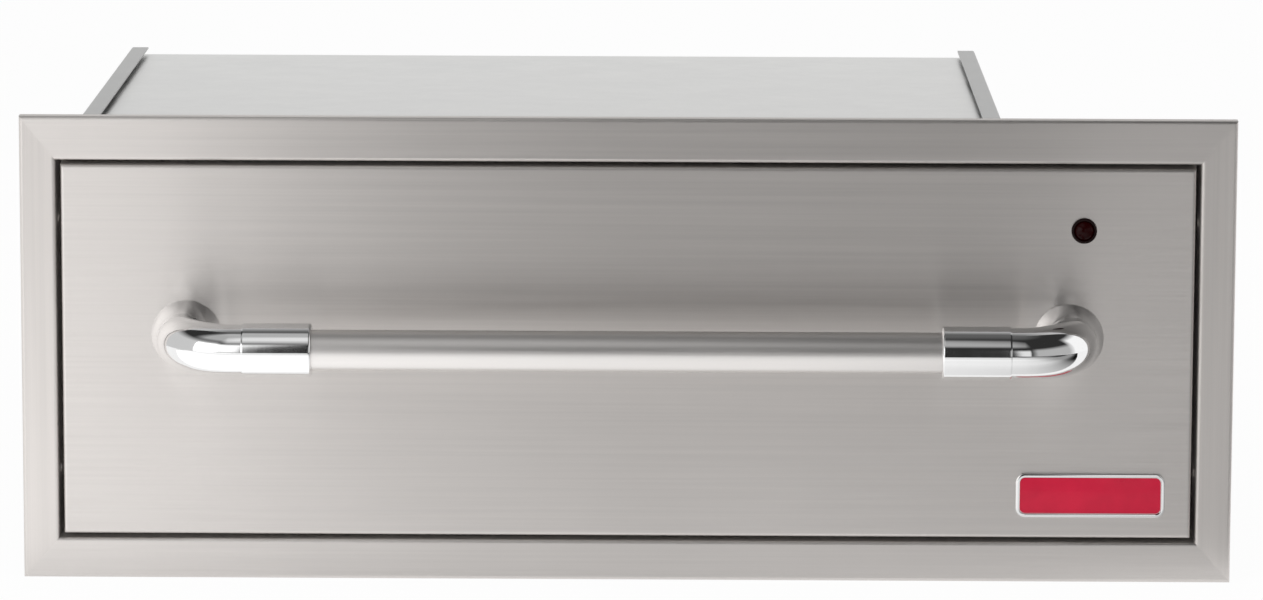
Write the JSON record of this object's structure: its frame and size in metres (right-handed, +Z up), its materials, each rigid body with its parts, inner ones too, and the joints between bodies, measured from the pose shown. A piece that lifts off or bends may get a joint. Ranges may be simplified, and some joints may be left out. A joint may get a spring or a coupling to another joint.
{
  "type": "built-in warming drawer",
  "caption": "A built-in warming drawer: steel front with a bar handle in a mitred trim frame, on telescopic slides in an insulated, heated housing with a hidden thermostat",
  "frame": {"origin": "the middle of the cut-out, in the plane of the cabinet's face, which the trim frame's flange lies on", "axes": "+X to the right as seen from in front, +Y into the cabinet, +Z up; the drawer slides out along -Y"},
  "size_m": [0.762, 0.6075, 0.294],
  "materials": {
    "trim_steel": "brushed along each rail",
    "front_steel": "brushed, horizontal grain",
    "housing_steel": "mill finish, mottled",
    "plated_steel": "zinc plated",
    "liner_steel": "satin",
    "drawer_steel": "satin",
    "pan_steel": "satin, deep drawn",
    "control_steel": "satin",
    "mineral_wool": "matt, fibrous",
    "element_sheath": "heat darkened, matt",
    "ceramic": "glazed",
    "clip_steel": "satin",
    "thermostat_case": "matt",
    "copper": "drawn tube, bright",
    "lamp_amber": "gloss",
    "terminal_ivory": "matt",
    "black_nylon": "matt",
    "screw_zinc": "zinc plated",
    "slide_zinc": "zinc plated, bright",
    "cage_plated": "yellow plated",
    "lever_grey": "matt",
    "gasket_rubber": "matt",
    "handle_steel": "polished along the tube",
    "handle_chrome": "polished",
    "bezel_black": "gloss",
    "lens_red": "gloss",
    "knob_black": "satin",
    "shaft_steel": "satin"
  },
  "bodies": {
    "housing": {"frame_top_rail": "trim_steel", "frame_bottom_rail": "trim_steel", "frame_left_stile": "trim_steel", "frame_right_stile": "trim_steel", "front_plate": "plated_steel", "shell_left": "plated_steel", "shell_right": "plated_steel", "shell_back": "plated_steel", "shell_base": "plated_steel", "control_housing": "plated_steel", "shell_top": "housing_steel", "liner_top": "liner_steel", "liner_base": "liner_steel", "liner_left": "liner_steel", "liner_right": "liner_steel", "liner_back": "liner_steel", "insulation_top": "mineral_wool", "insulation_base": "mineral_wool", "insulation_sides": "mineral_wool", "insulation_back": "mineral_wool", "heating_element": "element_sheath", "element_terminals": "ceramic", "cavity_clips": "clip_steel", "control_plate": "control_steel", "thermostat_body": "thermostat_case", "thermostat_bulb": "copper", "indicator_lamp": "lamp_amber", "terminal_block": "terminal_ivory", "cable_gland": "black_nylon", "shell_screws": "screw_zinc", "slide_outer_left": "slide_zinc", "slide_outer_right": "slide_zinc"},
    "drawer": {"front_skin": "front_steel", "front_insulation": "mineral_wool", "front_inner_panel": "drawer_steel", "drawer_gasket": "gasket_rubber", "drawer_side_left": "drawer_steel", "drawer_side_right": "drawer_steel", "drawer_cross_rails": "drawer_steel", "drawer_pan": "pan_steel", "slide_inner_left": "slide_zinc", "slide_inner_right": "slide_zinc", "slide_screws": "screw_zinc", "handle_tube": "handle_steel", "handle_bracket_left": "handle_chrome", "handle_bracket_right": "handle_chrome", "handle_fasteners": "screw_zinc", "lens_bezel": "bezel_black", "indicator_lens": "lens_red"},
    "outer_cage_left": {"outer_cage_left": "cage_plated"},
    "slide_middle_left": {"slide_middle_left": "slide_zinc"},
    "inner_cage_left": {"inner_cage_left": "cage_plated"},
    "outer_cage_right": {"outer_cage_right": "cage_plated"},
    "slide_middle_right": {"slide_middle_right": "slide_zinc"},
    "inner_cage_right": {"inner_cage_right": "cage_plated"},
    "knob": {"thermostat_knob": "knob_black", "thermostat_shaft": "shaft_steel"},
    "lever_left": {"release_lever_left": "lever_grey"},
    "lever_right": {"release_lever_right": "lever_grey"}
  },
  "joints": [
    {"name": "drawer_slide", "type": "slide", "parent": "housing", "child": "drawer", "axis": [0, -1, 0], "range_m": [0, 0.44]},
    {"name": "outer_cage_left_slide", "type": "slide", "parent": "housing", "child": "outer_cage_left", "axis": [0, -1, 0], "range_m": [0, 0.11]},
    {"name": "slide_middle_left_slide", "type": "slide", "parent": "housing", "child": "slide_middle_left", "axis": [0, -1, 0], "range_m": [0, 0.22]},
    {"name": "inner_cage_left_slide", "type": "slide", "parent": "housing", "child": "inner_cage_left", "axis": [0, -1, 0], "range_m": [0, 0.33]},
    {"name": "outer_cage_right_slide", "type": "slide", "parent": "housing", "child": "outer_cage_right", "axis": [0, -1, 0], "range_m": [0, 0.11]},
    {"name": "slide_middle_right_slide", "type": "slide", "parent": "housing", "child": "slide_middle_right", "axis": [0, -1, 0], "range_m": [0, 0.22]},
    {"name": "inner_cage_right_slide", "type": "slide", "parent": "housing", "child": "inner_cage_right", "axis": [0, -1, 0], "range_m": [0, 0.33]},
    {"name": "thermostat_turn", "type": "hinge", "parent": "housing", "child": "knob", "pos_m": [0.29975, 0.036, -0.005], "axis": [0, 1, 0], "range_deg": [0, 270]},
    {"name": "lever_left_turn", "type": "hinge", "parent": "drawer", "child": "lever_left", "pos_m": [-0.326, 0.0802, 0.01], "axis": [1, 0, 0], "range_deg": [0, 8], "stiffness_Nm_per_rad": 0.1},
    {"name": "lever_right_turn", "type": "hinge", "parent": "drawer", "child": "lever_right", "pos_m": [0.21, 0.0802, 0.01], "axis": [1, 0, 0], "range_deg": [0, 8], "stiffness_Nm_per_rad": 0.1}
  ],
  "couplings": [
    {"joint": "outer_cage_left_slide", "follows": "drawer_slide", "ratio": 0.25},
    {"joint": "slide_middle_left_slide", "follows": "drawer_slide", "ratio": 0.5},
    {"joint": "inner_cage_left_slide", "follows": "drawer_slide", "ratio": 0.75},
    {"joint": "outer_cage_right_slide", "follows": "drawer_slide", "ratio": 0.25},
    {"joint": "slide_middle_right_slide", "follows": "drawer_slide", "ratio": 0.5},
    {"joint": "inner_cage_right_slide", "follows": "drawer_slide", "ratio": 0.75}
  ]
}
